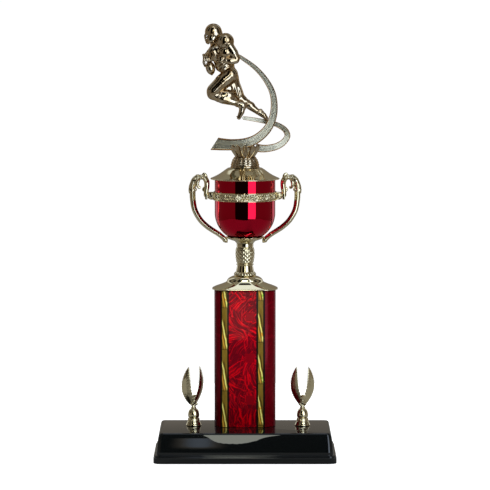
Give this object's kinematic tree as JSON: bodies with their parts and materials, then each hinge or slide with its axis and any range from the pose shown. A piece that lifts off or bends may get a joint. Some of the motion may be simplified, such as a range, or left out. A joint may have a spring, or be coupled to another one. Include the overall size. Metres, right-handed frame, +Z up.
{
  "type": "sports trophy",
  "caption": "Lidded cup trophy with scroll handles on a foil-wrapped column, topped by a running ball player on a ribbon swirl, with winged side trims on a moulded base.",
  "frame": {"origin": "centre of the bounding box on the underside of the base, which is the surface the trophy stands on", "axes": "+Z up the trophy to the helmet, +Y from the front of the base to its back, +X to the viewer's right"},
  "size_m": [0.234, 0.124, 0.5588],
  "materials": {
    "gold_plate": "polished",
    "satin_gold": "satin",
    "red_plate": "polished",
    "foil_wrap": "gloss",
    "black_plastic": "gloss",
    "steel": "satin",
    "ballast": "matte"
  },
  "bodies": {
    "root": {"base_shell": "black_plastic", "base_weight": "ballast", "base_washer": "steel", "base_nut": "steel", "tie_rod": "steel", "column_tube": "foil_wrap", "column_cap": "gold_plate", "stem": "gold_plate", "cup_petals": "gold_plate", "cup_bowl": "red_plate", "cup_band": "gold_plate", "handle_left": "gold_plate", "handle_right": "gold_plate", "cup_lid": "gold_plate", "lid_washer": "steel", "lid_nut": "steel", "eagle_left_washer": "steel", "eagle_left_screw": "steel", "eagle_right_washer": "steel", "eagle_right_screw": "steel"},
    "figure": {"figure_base": "gold_plate", "figure_insert": "steel", "ribbon_main": "satin_gold", "ribbon_loop": "satin_gold", "player_body": "gold_plate", "player_helmet": "gold_plate", "player_ball": "gold_plate"},
    "eagle_left": {"eagle_left_bell": "gold_plate", "eagle_left_bird": "gold_plate"},
    "eagle_right": {"eagle_right_bell": "gold_plate", "eagle_right_bird": "gold_plate"}
  },
  "joints": [
    {"name": "figure_turn", "type": "hinge", "parent": "root", "child": "figure", "pos_m": [0, 0.015, 0.3735], "axis": [0, 0, 1], "range_deg": [-180, 180]},
    {"name": "eagle_left_turn", "type": "hinge", "parent": "root", "child": "eagle_left", "pos_m": [-0.0666, 0.01, 0.0388], "axis": [0, 0, 1], "range_deg": [-180, 180]},
    {"name": "eagle_right_turn", "type": "hinge", "parent": "root", "child": "eagle_right", "pos_m": [0.0746, 0.01, 0.0388], "axis": [0, 0, 1], "range_deg": [-180, 180]}
  ]
}
